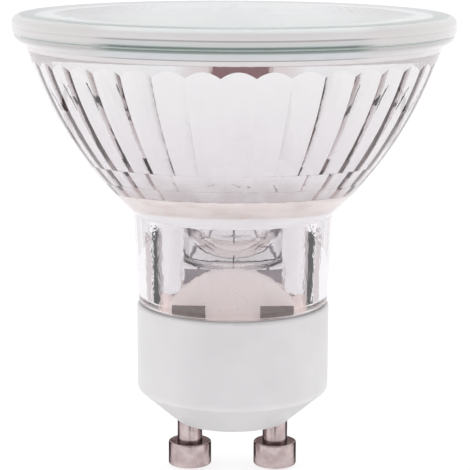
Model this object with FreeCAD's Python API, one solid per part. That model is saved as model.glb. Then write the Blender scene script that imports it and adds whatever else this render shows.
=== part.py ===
import FreeCAD, Part
import math
import os

# Mains halogen reflector lamp, 50 mm, with a twist-and-lock cap of two headed pins.
# The origin is the middle of the pin pattern on the flat underside of the ceramic base.
# +Z runs along the lamp's axis to the cover glass, and the pins lie along X.
# Lengths are in millimetres and angles in degrees.

V = FreeCAD.Vector
AXIS = V(0, 0, 1)
ORIGIN = V(0, 0, 0)

# Contact pins
pin_pitch = 10.0
pin_head_dia = 5.0
pin_head_height = 2.75
pin_edge_round = 0.2
pin_neck_dia = 2.9
pin_neck_length = 2.95
pin_shank_dia = 2.5
pin_clinch_dia = 4.2
pin_clinch_thickness = 0.5
weld_bead_dia = 1.8
weld_bead_height = 0.25

# Ceramic base
ceramic_dia = 22.2
ceramic_face_dia = 13.2
ceramic_bevel_height = 3.85
ceramic_height = 13.85
ceramic_floor = 3.2
ceramic_wall = 2.4
ceramic_lip = 0.85
ceramic_rebate = 1.25
ceramic_edge_round = 0.35
ceramic_bevel_round = 0.9
ceramic_face_round = 0.4

# Reflector: neck
neck_dia_low = 21.85
neck_dia_high = 22.95
neck_bore_low = 17.0
neck_bore_high = 17.5
neck_length = 10.75
neck_fillet = 0.8

# Reflector: bowl
bowl_height = 19.2
bowl_bulge = 1.5
bowl_wall = 2.4
rim_wall = 3.0
opening_draft = 2.0

# Reflector: flange at the mouth
flange_lip = 1.25
flange_thickness = 1.15
flange_round = 0.75

# Petals and facets pressed into the inside of the bowl, as heights above the neck
petal_count = 36
petal_phase = 6.3
petal_start = 6.9
upper_facet_count = 32
upper_facet_phase = 8.45
upper_facet_start = 5.05
lower_facet_count = 28
lower_facet_phase = 3.0
lower_facet_start = 3.8
throat_rise = 0.95
petal_depth_ratio = 0.011
facet_row_step = 0.08
petal_section_count = 5

# Cover glass and the film that bonds it
film_thickness = 0.15
film_width = 1.9
film_inset = 0.35
cover_dia = 50.0
cover_overhang = 0.25
cover_thickness = 2.0
cover_top_round = 0.9
cover_low_round = 0.4

# Quartz capsule
capsule_dia = 11.4
capsule_wall = 1.2
capsule_length = 10.9
capsule_blend = 2.4
pinch_width = 12.0
pinch_thickness = 3.4
pinch_corner = 1.2
pinch_length = 10.8
pinch_sink = 6.25
cavity_drop = 0.6
tip_dia = 2.2
tip_end_dia = 1.1
tip_height = 1.4

# Foils, leads and filament
foil_width = 2.7
foil_thickness = 0.1
foil_length = 8.0
foil_spacing = 7.9
foil_margin = 0.1
inner_lead_dia = 0.3
outer_lead_dia = 0.6
fuse_dia = 0.3
lead_stub = 0.9
lead_drop = 1.8
weld_length = 0.5
lead_rise = 5.6
lead_bend = 0.8
filament_spacing = 4.0
filament_coil_dia = 1.0
filament_height = 8.6
filament_lift = 6.4
hook_wire_dia = 0.15
hook_embed = 1.6

# Cement and the clip that it holds
cement_sink = 1.55
heap_half_length = 7.9
heap_half_width = 4.7
heap_height = 6.2
clip_thickness = 0.25
clip_half_width = 5.05
clip_end_margin = 0.25
clip_finger_width = 3.35
clip_bend = 0.5
clip_sink = 3.35
clip_finger_height = 4.3

# Clearances
pin_hole_clearance = 0.05
pin_bore_clearance = 0.05
bond_gap = 0.15
slot_clearance = 0.05
hook_clearance = 0.05

# Heights that follow
neck_base = ceramic_height
bowl_base = neck_base + neck_length
crease_height = bowl_base + bowl_height
flange_top = crease_height + flange_thickness
cover_base = flange_top + film_thickness
cover_top = cover_base + cover_thickness
pin_tip = -(pin_neck_length + pin_head_height)
pinch_base = neck_base - pinch_sink
pinch_top = pinch_base + pinch_length
bulb_base = pinch_top + capsule_blend
bulb_top = bulb_base + capsule_length
bulb_roof = bulb_top + capsule_dia / 2
foil_top = pinch_top - foil_margin
foil_base = foil_top - foil_length
filament_base = pinch_top + filament_lift
filament_top = filament_base + filament_height
cement_level = ceramic_height - cement_sink
clip_level = ceramic_height - clip_sink
clip_finger_top = clip_level + clip_finger_height

# Radii and a length that follow
flange_radius = cover_dia / 2 - cover_overhang
mouth_radius = flange_radius - flange_lip
opening_radius = mouth_radius - rim_wall
ceramic_bore = ceramic_dia / 2 - ceramic_wall
rebate_radius = ceramic_dia / 2 - ceramic_lip
spigot_radius = rebate_radius - bond_gap
lead_bore = outer_lead_dia / 2 + pin_bore_clearance
clip_half_length = pinch_width / 2 + slot_clearance + clip_end_margin


def point(radius, height):
    """A point of a turned outline, in the XZ plane."""
    return V(radius, 0, height)


def line(start, end):
    return Part.LineSegment(start, end).toShape()


def arc(start, through, end):
    return Part.Arc(start, through, end).toShape()


def corner_arc(start, end, centre):
    """A quarter-round from start to end about its centre."""
    radius = start.sub(centre).Length
    outward = start.add(end).multiply(0.5).sub(centre).normalize()
    return arc(start, centre.add(outward.multiply(radius)), end)


def turned(edges):
    """A solid of revolution about Z from the edges of a closed outline."""
    wire = Part.Wire(Part.__sortEdges__(edges))
    return Part.Face(wire).revolve(ORIGIN, AXIS, 360)


def turned_polygon(points):
    return Part.Face(Part.makePolygon(points + [points[0]])).revolve(ORIGIN, AXIS, 360)


def box(x_low, x_high, y_low, y_high, z_low, z_high):
    size = V(x_high - x_low, y_high - y_low, z_high - z_low)
    return Part.makeBox(size.x, size.y, size.z, V(x_low, y_low, z_low))


def bend(before, corner, after, radius):
    """Tangent arc at a corner between two straight runs: its start, its middle and its end."""
    into = corner.sub(before).normalize()
    out = after.sub(corner).normalize()
    turn = math.acos(max(-1.0, min(1.0, into.dot(out))))
    setback = radius * math.tan(turn / 2)
    inward = V(out).sub(into).normalize()
    middle = corner.add(inward.multiply(radius / math.cos(turn / 2) - radius))
    return corner.sub(into.multiply(setback)), middle, corner.add(out.multiply(setback))


def closed_outline(corners):
    """Edges of a closed outline through corners, each with the radius that rounds it, or 0."""
    pieces = []
    for index, (corner, radius) in enumerate(corners):
        before = corners[index - 1][0]
        after = corners[(index + 1) % len(corners)][0]
        pieces.append(bend(before, corner, after, radius) if radius else (corner,))
    edges = [arc(*piece) for piece in pieces if len(piece) == 3]
    edges += [line(piece[-1], following[0]) for piece, following in zip(pieces, pieces[1:] + pieces[:1])]
    return edges


def bent_wire(points, diameter, bend_radius):
    """A round wire along straight runs that are joined by tangent arcs of one bend radius."""
    edges = []
    start = points[0]
    for before, corner, after in zip(points, points[1:], points[2:]):
        arc_start, middle, arc_end = bend(before, corner, after, bend_radius)
        edges.append(line(start, arc_start))
        edges.append(arc(arc_start, middle, arc_end))
        start = arc_end
    edges.append(line(start, points[-1]))
    direction = points[1].sub(points[0])
    profile = Part.Wire(Part.makeCircle(diameter / 2, points[0], direction))
    return Part.Wire(edges).makePipeShell([profile], True, False)


# Reflector

crease = point(mouth_radius, crease_height)
bowl_foot = point(neck_dia_high / 2, bowl_base)
bowl_chord = crease.sub(bowl_foot)
bowl_radius = (bowl_chord.Length ** 2 / 4 + bowl_bulge ** 2) / (2 * bowl_bulge)
bowl_outward = V(bowl_chord.z, 0, -bowl_chord.x).normalize()
bowl_centre = bowl_foot.add(crease).multiply(0.5).sub(V(bowl_outward).multiply(bowl_radius - bowl_bulge))


def inner_radius(height):
    """Radius of the inside of the bowl, one wall in from its round outside."""
    reach = bowl_radius - bowl_wall
    return bowl_centre.x + math.sqrt(reach ** 2 - (height - bowl_centre.z) ** 2)


def petal_section(height, radius, count, phase):
    """Closed outline of the pressing tool: arcs that bow towards the axis between the seams."""
    arcs = []
    step = 360.0 / count
    for index in range(count):
        seam, middle, next_seam = (math.radians(phase + (index + part) * step) for part in (0, 0.5, 1))
        shallow = radius * (1 - petal_depth_ratio)
        arcs.append(arc(V(radius * math.cos(seam), radius * math.sin(seam), height),
                        V(shallow * math.cos(middle), shallow * math.sin(middle), height),
                        V(radius * math.cos(next_seam), radius * math.sin(next_seam), height)))
    return Part.Wire(arcs)


def petal_row(low, high, sections, inset, count, phase):
    """One ring of petals between two heights, set in towards the axis by an inset."""
    heights = [low + (high - low) * index / (sections - 1) for index in range(sections)]
    wires = [petal_section(height, inner_radius(height) - inset, count, phase) for height in heights]
    return Part.makeLoft(wires, True, False)


def reflector_outside():
    """Outside of the pressed glass: spigot, tapered neck, round bowl and flange."""
    spigot_top = point(spigot_radius, neck_base + bond_gap)
    neck_low = point(neck_dia_low / 2, spigot_top.z + neck_dia_low / 2 - spigot_radius)
    spigot_end = point(spigot_radius, neck_base - ceramic_rebate + bond_gap)
    bowl_middle = V(bowl_centre).add(V(bowl_outward).multiply(bowl_radius))
    lip_low = point(flange_radius - flange_round, flange_top - flange_round)
    lip_high = point(flange_radius, flange_top)
    edges = [
        line(point(0, spigot_end.z), spigot_end),
        line(spigot_end, spigot_top),
        corner_arc(spigot_top, neck_low, point(spigot_radius, neck_low.z)),
        line(neck_low, bowl_foot),
        arc(bowl_foot, bowl_middle, crease),
        line(crease, lip_low),
        corner_arc(lip_low, lip_high, point(lip_low.x, lip_high.z)),
        line(lip_high, point(0, flange_top)),
        line(point(0, flange_top), point(0, spigot_end.z)),
    ]
    solid = turned(edges)
    junction = [edge for edge in solid.Edges
                if edge.Closed and abs(edge.CenterOfMass.z - bowl_base) < 0.01]
    return solid.makeFillet(neck_fillet, junction)


def reflector():
    """The pressed glass with the tool's petals, facets and bore cut out of its inside."""
    petal_base = bowl_base + petal_start
    upper_base = bowl_base + upper_facet_start
    lower_base = bowl_base + lower_facet_start
    throat = bowl_base + throat_rise
    above = cover_base
    slope = math.tan(math.radians(opening_draft))
    opening_high = opening_radius + (above - flange_top) * slope
    opening_low = opening_radius - (flange_top - petal_base) * slope
    opening = turned_polygon([point(0, petal_base), point(opening_low, petal_base),
                              point(opening_high, above), point(0, above)])
    petals = petal_row(petal_base, above, petal_section_count, 0, petal_count, petal_phase)
    upper = petal_row(upper_base, petal_base, 2, facet_row_step, upper_facet_count, upper_facet_phase)
    lower = petal_row(lower_base, upper_base, 2, 2 * facet_row_step, lower_facet_count, lower_facet_phase)
    foot_radius = inner_radius(lower_base) - 3 * facet_row_step
    below = neck_base - ceramic_rebate
    bore = turned_polygon([point(0, below), point(neck_bore_low / 2, below),
                           point(neck_bore_high / 2, throat), point(foot_radius, lower_base),
                           point(0, lower_base)])
    glass = reflector_outside()
    for tool in (petals.common(opening), upper, lower, bore):
        glass = glass.cut(tool)
    return glass


def cover_glass():
    radius = cover_dia / 2
    return turned(closed_outline([
        (point(0, cover_base), 0),
        (point(radius, cover_base), cover_low_round),
        (point(radius, cover_top), cover_top_round),
        (point(0, cover_top), 0),
    ]))


def cover_adhesive():
    outer = flange_radius - film_inset
    inner = outer - film_width
    return turned_polygon([point(inner, flange_top), point(outer, flange_top),
                           point(outer, cover_base), point(inner, cover_base)])


# Base and pins

def ceramic_base():
    """Hollow cap: bevelled outside, rebate for the neck at the rim and two pin holes in the floor."""
    radius = ceramic_dia / 2
    rebate_floor = ceramic_height - ceramic_rebate
    body = turned(closed_outline([
        (point(0, 0), 0),
        (point(ceramic_face_dia / 2, 0), ceramic_face_round),
        (point(radius, ceramic_bevel_height), ceramic_bevel_round),
        (point(radius, ceramic_height), ceramic_edge_round),
        (point(rebate_radius, ceramic_height), 0),
        (point(rebate_radius, rebate_floor), 0),
        (point(ceramic_bore, rebate_floor), 0),
        (point(ceramic_bore, ceramic_floor), 0),
        (point(0, ceramic_floor), 0),
    ]))
    for side in (-1, 1):
        hole = Part.makeCylinder(pin_shank_dia / 2 + pin_hole_clearance, ceramic_floor,
                                 V(side * pin_pitch / 2, 0, 0))
        body = body.cut(hole)
    return body


def contact_pin(side):
    """Headed pin: head, neck, shank through the ceramic floor and clinched end, bored for the lead."""
    head = pin_head_dia / 2
    neck = pin_neck_dia / 2
    shank = pin_shank_dia / 2
    pin = turned(closed_outline([
        (point(lead_bore, pin_tip), 0),
        (point(head, pin_tip), pin_edge_round),
        (point(head, -pin_neck_length), pin_edge_round),
        (point(neck, -pin_neck_length), 0),
        (point(neck, 0), 0),
        (point(shank, 0), 0),
        (point(shank, ceramic_floor), 0),
        (point(pin_clinch_dia / 2, ceramic_floor), 0),
        (point(lead_bore, ceramic_floor + pin_clinch_thickness), 0),
    ]))
    pin.translate(V(side * pin_pitch / 2, 0, 0))
    return pin


def weld_bead(side):
    """Low dome of weld metal on the tip of a pin."""
    radius = weld_bead_dia / 2
    sphere = (radius ** 2 + weld_bead_height ** 2) / (2 * weld_bead_height)
    slope = math.asin(radius / sphere) / 2
    through = point(sphere * math.sin(slope), pin_tip - weld_bead_height + sphere * (1 - math.cos(slope)))
    bottom = point(0, pin_tip - weld_bead_height)
    bead = turned([arc(point(radius, pin_tip), through, bottom),
                   line(bottom, point(0, pin_tip)),
                   line(point(0, pin_tip), point(radius, pin_tip))])
    bead.translate(V(side * pin_pitch / 2, 0, 0))
    return bead


# Capsule and what it holds

def pinch_pieces(height):
    """Corners and sides of the flat pinch, counterclockwise, each as start, middle and end."""
    half_x = pinch_width / 2
    half_y = pinch_thickness / 2
    flat_x = half_x - pinch_corner
    flat_y = half_y - pinch_corner
    reach = pinch_corner * math.sqrt(0.5)
    corners = []
    for turn_x, turn_y in ((1, 1), (-1, 1), (-1, -1), (1, -1)):
        side_point = V(turn_x * half_x, turn_y * flat_y, height)
        face_point = V(turn_x * flat_x, turn_y * half_y, height)
        through = V(turn_x * (flat_x + reach), turn_y * (flat_y + reach), height)
        ends = (side_point, face_point) if turn_x == turn_y else (face_point, side_point)
        corners.append((ends[0], through, ends[1]))
    pieces = []
    for corner, following in zip(corners, corners[1:] + corners[:1]):
        middle = corner[2].add(following[0]).multiply(0.5)
        pieces.append(corner)
        pieces.append((corner[2], middle, following[0]))
    return pieces


def pinch_outline(height):
    """Rounded rectangle: arcs at the corners and straight sides between them."""
    pieces = pinch_pieces(height)
    corners = [arc(*piece) for piece in pieces[0::2]]
    sides = [line(piece[0], piece[2]) for piece in pieces[1::2]]
    return Part.Wire([edge for pair in zip(corners, sides) for edge in pair])


def round_outline(height):
    """Circle of the bulb, split in the directions where the pinch has its corners."""
    def on_circle(place):
        away = V(place.x, place.y, 0).normalize()
        return V(away.x * capsule_dia / 2, away.y * capsule_dia / 2, height)

    return Part.Wire([arc(*(on_circle(place) for place in piece)) for piece in pinch_pieces(height)])


def round_ended(radius, low, high):
    """A turned body between two heights with a hemisphere at its upper end."""
    side = math.sqrt(0.5)
    shoulder = high - radius
    return turned([
        line(point(0, low), point(radius, low)),
        line(point(radius, low), point(radius, shoulder)),
        arc(point(radius, shoulder), point(radius * side, shoulder + radius * side), point(0, high)),
        line(point(0, high), point(0, low)),
    ])


def capsule_cavity():
    """Hollow of the bulb, one wall in, with a hemisphere at both ends."""
    radius = capsule_dia / 2 - capsule_wall
    floor = bulb_base - cavity_drop
    upper = round_ended(radius, floor + radius, bulb_roof - capsule_wall)
    return upper.fuse(Part.makeSphere(radius, V(0, 0, floor + radius)))


def pinch_block():
    return Part.Face(pinch_outline(pinch_base)).extrude(V(0, 0, pinch_length))


def capsule_envelope(embedded):
    """Quartz bulb and pinch, pressed round the metal that is embedded in it."""
    bulb = round_ended(capsule_dia / 2, bulb_base, bulb_roof)
    tip = Part.makeCone(tip_dia / 2, tip_end_dia / 2, tip_height + capsule_wall / 2,
                        V(0, 0, bulb_roof - capsule_wall / 2))
    pinch = pinch_block()
    blend = Part.makeLoft([pinch_outline(pinch_top), round_outline(bulb_base)], True, True)
    quartz = pinch.fuse([blend, bulb, tip]).cut(capsule_cavity())
    for piece in embedded:
        quartz = quartz.cut(piece)
    return quartz


def foil(side):
    centre = side * foil_spacing / 2
    return box(centre - foil_width / 2, centre + foil_width / 2,
               -foil_thickness / 2, foil_thickness / 2, foil_base, foil_top)


def inner_lead(side):
    """Stiff wire from the top of the foil through the quartz to the foot of the filament."""
    foot = V(side * foil_spacing / 2, 0, foil_top)
    knee = V(foot.x, 0, foil_top + weld_length)
    post = V(side * filament_spacing / 2, 0, pinch_top + lead_rise)
    end = V(post.x, 0, filament_base)
    return bent_wire([foot, knee, post, end], inner_lead_dia, lead_bend)


def lead_route(side):
    """Corners of the way from the foil out of the pinch and down the bore of the pin."""
    foot = V(side * foil_spacing / 2, 0, foil_base)
    knee = V(foot.x, 0, pinch_base - lead_drop)
    enter = V(side * pin_pitch / 2, 0, ceramic_floor + pin_clinch_thickness + lead_stub)
    tip = V(enter.x, 0, pin_tip)
    return foot, knee, enter, tip


def outer_lead_left():
    return bent_wire(lead_route(-1), outer_lead_dia, lead_bend)


def outer_lead_right():
    """Short lead that ends just below the pinch, where the fuse wire takes over."""
    foot = lead_route(1)[0]
    length = foil_base - pinch_base + lead_stub
    return Part.makeCylinder(outer_lead_dia / 2, length, foot, V(0, 0, -1))


def fuse_wire():
    foot, knee, enter, tip = lead_route(1)
    leave = V(foot.x, 0, pinch_base - lead_stub)
    return bent_wire([leave, knee, enter, tip], fuse_dia, lead_bend)


def filament():
    """Coiled wire as the round rod that its turns fill, bent over the hook, with a foot on each lead."""
    half = filament_spacing / 2
    corners = [V(-half, 0, filament_base), V(-half, 0, filament_top),
               V(half, 0, filament_top), V(half, 0, filament_base)]
    return bent_wire(corners, filament_coil_dia, half - hook_clearance)


def filament_hook():
    """Support wire from the pinch to an eye round the bow of the filament."""
    eye = filament_coil_dia / 2 + hook_clearance + hook_wire_dia / 2
    start = pinch_top - hook_embed
    post = Part.makeCylinder(hook_wire_dia / 2, filament_top - eye - start, V(0, 0, start))
    ring = Part.makeTorus(eye, hook_wire_dia / 2, V(0, 0, filament_top), V(1, 0, 0))
    return post.fuse(ring)


# Clip and cement

def capsule_clip():
    """Stamped saddle: a plate with a slot for the pinch and four upright fingers."""
    outer = clip_half_width
    inner = outer - clip_thickness
    low = clip_level
    high = clip_level + clip_thickness
    outer_bend = clip_bend + clip_thickness

    def at(y, z):
        return V(-clip_half_length, y, z)

    section = closed_outline([
        (at(-outer, clip_finger_top), 0),
        (at(-outer, low), outer_bend),
        (at(outer, low), outer_bend),
        (at(outer, clip_finger_top), 0),
        (at(inner, clip_finger_top), 0),
        (at(inner, high), clip_bend),
        (at(-inner, high), clip_bend),
        (at(-inner, clip_finger_top), 0),
    ])
    wire = Part.Wire(Part.__sortEdges__(section))
    channel = Part.Face(wire).extrude(V(2 * clip_half_length, 0, 0))
    gap = clip_half_length - clip_finger_width
    between = box(-gap, gap, -outer, outer, high + clip_bend, clip_finger_top)
    slot_x = pinch_width / 2 + slot_clearance
    slot_y = pinch_thickness / 2 + slot_clearance
    slot = box(-slot_x, slot_x, -slot_y, slot_y, low, high)
    return channel.cut(between).cut(slot)


def cement(held):
    """Potting that fills the base, bonds the neck and is heaped along the pinch up to its top."""
    rebate_floor = ceramic_height - ceramic_rebate
    bore = neck_bore_low / 2
    fill = turned_polygon([
        point(0, ceramic_floor), point(ceramic_bore, ceramic_floor), point(ceramic_bore, rebate_floor),
        point(rebate_radius, rebate_floor), point(rebate_radius, ceramic_height),
        point(spigot_radius, ceramic_height), point(spigot_radius, rebate_floor + bond_gap),
        point(bore, rebate_floor + bond_gap), point(bore, cement_level), point(0, cement_level),
    ])
    spread = FreeCAD.Matrix()
    spread.scale(heap_half_length, heap_half_width, heap_height)
    heap = Part.makeSphere(1).transformGeometry(spread)
    heap.translate(V(0, 0, cement_level))
    above_fill = box(-heap_half_length, heap_half_length, -heap_half_width, heap_half_width,
                     cement_level - bond_gap, min(cement_level + heap_height, pinch_top))
    mass = fill.fuse(heap.common(above_fill))
    for piece in held:
        mass = mass.cut(piece)
    return mass


def build():
    nodes = {
        "cover_glass": cover_glass(),
        "cover_adhesive": cover_adhesive(),
        "reflector": reflector(),
        "ceramic_base": ceramic_base(),
        "capsule_clip": capsule_clip(),
        "filament": filament(),
        "filament_hook": filament_hook(),
        "outer_lead_left": outer_lead_left(),
        "outer_lead_right": outer_lead_right(),
        "fuse_wire": fuse_wire(),
    }
    for name, side in (("left", -1), ("right", 1)):
        nodes["foil_" + name] = foil(side)
        nodes["inner_lead_" + name] = inner_lead(side)
        nodes["contact_pin_" + name] = contact_pin(side)
        nodes["weld_bead_" + name] = weld_bead(side)
    in_quartz = ["foil_left", "foil_right", "inner_lead_left", "inner_lead_right",
                 "outer_lead_left", "outer_lead_right", "filament_hook"]
    nodes["capsule_envelope"] = capsule_envelope([nodes[name] for name in in_quartz])
    in_cement = ["outer_lead_left", "outer_lead_right", "fuse_wire", "capsule_clip",
                 "contact_pin_left", "contact_pin_right"]
    nodes["cement"] = cement([pinch_block()] + [nodes[name] for name in in_cement])
    return nodes


os.makedirs("parts", exist_ok=True)
for node, shape in build().items():
    shape.exportStep("parts/" + node + ".step")
    low, high = shape.BoundBox.ZMin, shape.BoundBox.ZMax
    print(node, len(shape.Solids), shape.isValid(), round(shape.Volume, 3), round(low, 3), round(high, 3))
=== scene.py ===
"""Looks of a 50 mm mains halogen reflector lamp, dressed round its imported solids.

Classes hold lengths in millimetres and meshes are in metres. +Z runs along the lamp's axis to the cover
glass, the origin is the middle of the pins on the flat underside of the base, and the camera looks along +Y.
"""
import logging
import math
from dataclasses import dataclass
from enum import Enum
from typing import Optional, Sequence

import bmesh
import bpy
import numpy as np
from mathutils import Matrix, Vector


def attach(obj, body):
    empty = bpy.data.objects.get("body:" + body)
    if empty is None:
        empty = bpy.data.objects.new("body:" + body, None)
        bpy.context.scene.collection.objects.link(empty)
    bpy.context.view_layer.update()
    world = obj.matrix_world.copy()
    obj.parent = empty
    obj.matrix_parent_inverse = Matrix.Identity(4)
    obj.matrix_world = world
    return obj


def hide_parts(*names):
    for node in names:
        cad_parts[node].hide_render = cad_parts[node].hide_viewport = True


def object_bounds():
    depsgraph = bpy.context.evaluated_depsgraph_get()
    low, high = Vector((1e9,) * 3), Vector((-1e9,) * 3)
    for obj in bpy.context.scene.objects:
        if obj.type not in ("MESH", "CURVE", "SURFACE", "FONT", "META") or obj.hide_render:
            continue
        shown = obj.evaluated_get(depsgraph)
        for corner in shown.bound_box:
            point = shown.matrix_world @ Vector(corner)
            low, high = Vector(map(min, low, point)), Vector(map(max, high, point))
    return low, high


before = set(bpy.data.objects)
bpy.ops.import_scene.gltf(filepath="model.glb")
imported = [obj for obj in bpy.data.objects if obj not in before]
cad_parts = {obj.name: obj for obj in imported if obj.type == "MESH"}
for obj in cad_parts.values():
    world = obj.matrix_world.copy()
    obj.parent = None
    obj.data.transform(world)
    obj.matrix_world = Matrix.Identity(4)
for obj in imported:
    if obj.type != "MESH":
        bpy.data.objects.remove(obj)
CAD_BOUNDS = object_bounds()
MM = 0.001
BODY = "root"
SIDES = ("left", "right")
# Inputs of a colour mix: its share, its first colour and its second.
SHARE, FIRST, SECOND = 0, 6, 7
LOG = logging.getLogger("lamp")
Tree = bpy.types.NodeTree
Node = bpy.types.Node
Size = tuple[float, float, float]
Stops = tuple[tuple[float, str], ...]


class Slot(Enum):
    """Material slots of the record for new pieces; nothing in this script assigns them."""

    CLEAR_GLASS = "clear_glass"
    PRESSED_GLASS = "pressed_glass"
    QUARTZ = "quartz"
    SILICONE = "silicone"
    CEMENT = "cement"
    TUNGSTEN = "tungsten"


def linear(colour: str) -> tuple[float, float, float, float]:
    """Turns an sRGB hex colour into linear light.

    A channel c from 0 to 1 becomes c / 12.92 up to 0.04045, and ((c + 0.055) / 1.055) ** 2.4 above it.

    Args:
        colour: # and two hex digits each for red, green and blue.

    Returns:
        Linear red, green and blue, and an alpha of 1.
    """
    channels = [int(colour[i:i + 2], 16) / 255 for i in (1, 3, 5)]
    mapped = [c / 12.92 if c <= 0.04045 else ((c + 0.055) / 1.055) ** 2.4 for c in channels]
    return (mapped[0], mapped[1], mapped[2], 1.0)


def add_node(tree: Tree, kind: str, inputs: Optional[dict] = None, stops: Stops = (),
             **settings: object) -> Node:
    """Adds a node with its settings, and sets or links its inputs.

    Args:
        tree: node tree that gets the node.
        kind: Blender's name of the node type, after ShaderNode.
        inputs: socket name or number to a constant, an output, or a node, whose first open output is used.
        stops: position from 0 to 1 and sRGB hex colour of each stop of a colour ramp, in order.
        settings: attributes of the node itself.

    Returns:
        The new node.
    """
    node = tree.nodes.new(f"ShaderNode{kind}")
    for name, value in settings.items():
        setattr(node, name, value)
    for name, value in (inputs or {}).items():
        if isinstance(value, bpy.types.Node):
            value = next(output for output in value.outputs if output.enabled)
        if isinstance(value, bpy.types.NodeSocket):
            tree.links.new(value, node.inputs[name])
        else:
            node.inputs[name].default_value = value
    if stops:
        elements = node.color_ramp.elements
        for _ in stops[2:]:
            elements.new(0.5)
        for element, (position, colour) in zip(elements, stops):
            element.position = position
            element.color = linear(colour)
    return node


def pattern(tree: Tree, cell: Size, detail: float, kind: str = "TexNoise") -> Node:
    """Adds noise or cells in Object coordinates.

    Args:
        tree: node tree that gets the nodes.
        cell: width, depth and height of one cell in millimetres.
        detail: how many finer layers it has.
        kind: node type of the texture, after ShaderNode.

    Returns:
        The texture, one unit per cell.
    """
    place = add_node(tree, "TexCoord").outputs["Object"]
    scale = tuple(1.0 / (length * MM) for length in cell)
    scaled = add_node(tree, "Mapping", {"Vector": place, "Scale": scale})
    return add_node(tree, kind, {"Vector": scaled, "Scale": 1.0, "Detail": detail})


def drift(tree: Tree, cell: Size, detail: float, stops: Stops) -> Node:
    """Adds a colour that drifts between stops with a noise whose cell is in millimetres."""
    return add_node(tree, "ValToRGB", {"Fac": pattern(tree, cell, detail)}, stops)


def relief(tree: Tree, cell: Size, detail: float, depth: float) -> Node:
    """Adds a normal tilted by a noise, with cell and depth in millimetres."""
    return add_node(tree, "Bump", {"Height": pattern(tree, cell, detail), "Distance": depth * MM})


def share_along(tree: Tree, axis: str, low: float, high: float, most: float = 1.0) -> Node:
    """Adds a share that grows evenly between two distances from the origin, on both sides along an axis.

    Args:
        tree: node tree that gets the nodes.
        axis: X or Z.
        low: distance in millimetres up to which the share is 0.
        high: distance from which it is at its most.
        most: share that it reaches.

    Returns:
        The node that gives the share.
    """
    place = add_node(tree, "TexCoord").outputs["Object"]
    along = add_node(tree, "SeparateXYZ", {"Vector": place}).outputs[axis]
    distance = add_node(tree, "Math", {0: along}, operation="ABSOLUTE")
    return add_node(tree, "MapRange",
                    {"Value": distance, "From Min": low * MM, "From Max": high * MM, "To Max": most})


@dataclass(frozen=True)
class Finish:
    """A real material as a Principled surface."""

    name: str

    def surface(self, tree: Tree) -> dict:
        """Sockets of the shader: constants where it is the same all over, and nodes where it varies."""
        return {}

    def filling(self, tree: Tree) -> dict:
        """Sockets of the output for what light meets inside the piece."""
        return {}

    def material(self) -> bpy.types.Material:
        """Builds the material when it is first asked for.

        Returns:
            The material, the same one each time.
        """
        made = bpy.data.materials.get(self.name)
        if made:
            return made
        made = bpy.data.materials.new(self.name)
        made.use_nodes = True
        tree = made.node_tree
        tree.nodes.clear()
        shader = add_node(tree, "BsdfPrincipled", self.surface(tree))
        add_node(tree, "OutputMaterial", {"Surface": shader, **self.filling(tree)})
        return made


@dataclass(frozen=True)
class ClearGlass(Finish):
    """Glass or quartz that was pressed, floated or blown: clear, with faint waves."""

    wave_size: Size
    wave_depth: float = 0.02
    tint: str = "#FFFFFF"
    ior: float = 1.5
    roughness: float = 0.0
    absorb_colour: str = "#FFFFFF"
    absorb_per_mm: float = 0.0

    def surface(self, tree: Tree) -> dict:
        """Full transmission with the glass's own IOR, and waves that bend thin lines behind it."""
        return {"Base Color": linear(self.tint), "Transmission Weight": 1.0, "IOR": self.ior,
                "Roughness": self.roughness, "Normal": relief(tree, self.wave_size, 3.0, self.wave_depth)}

    def filling(self, tree: Tree) -> dict:
        """Tint that grows with thickness.

        Args:
            tree: node tree that gets the nodes.

        Returns:
            The volume socket of the output, or none where the glass isn't tinted.
        """
        if self.absorb_per_mm == 0:
            return {}
        return {"Volume": add_node(tree, "VolumeAbsorption", {
            "Color": linear(self.absorb_colour), "Density": self.absorb_per_mm / MM})}


@dataclass(frozen=True)
class SatinEdge(Finish):
    """Rim of a glass, fire-polished after grinding: milky, as it scatters light, with bands of painted light
    and shade, green for the light that the glass guides to it, and a painted glow.
    """

    low: float
    high: float
    pale: str
    stops: Stops
    scatter: str = "#FFFFFF"
    glow: float = 0.16
    pale_from: float = 12.4
    pale_to: float = 15.0
    pale_share: float = 0.8
    line_size: Size = (14.0, 14.0, 0.25)
    waver: float = 0.05

    def surface(self, tree: Tree) -> dict:
        """Paints light and shade on the rim in bands by height, fading towards one painted tone at the sides.

        The height wavers with the polishing lines. The colour is painted light, that which the glass guides
        to its rim, and the rim also gives it off as a painted glow. Times a second colour it is that of the
        light which the rim scatters.

        Args:
            tree: node tree that gets the nodes.

        Returns:
            Sockets of the shader for the rim.
        """
        moved = add_node(tree, "Math", {0: pattern(tree, self.line_size, 3.0), 1: self.waver,
                                        2: share_along(tree, "Z", self.low, self.high)},
                         operation="MULTIPLY_ADD")
        centred = add_node(tree, "Math", {0: moved, 1: self.waver / 2}, operation="SUBTRACT")
        tone = add_node(tree, "ValToRGB", {"Fac": centred}, self.stops)
        # Painted light: the bands fade towards the pale tone at the sides.
        painted_side_light = share_along(tree, "X", self.pale_from, self.pale_to, self.pale_share)
        paled = add_node(tree, "Mix", {SHARE: painted_side_light, FIRST: tone, SECOND: linear(self.pale)},
                         data_type="RGBA")
        matt = add_node(tree, "Mix", {SHARE: 1.0, FIRST: paled, SECOND: linear(self.scatter)},
                        data_type="RGBA", blend_type="MULTIPLY")
        # The banded colour is also given off as a painted glow.
        return {"Base Color": matt, "Emission Color": paled, "Emission Strength": self.glow, "IOR": 1.5,
                "Transmission Weight": 0.3, "Roughness": 0.3, "Coat Weight": 0.5, "Coat Roughness": 0.06,
                "Normal": relief(tree, self.line_size, 3.0, 0.02)}


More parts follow.
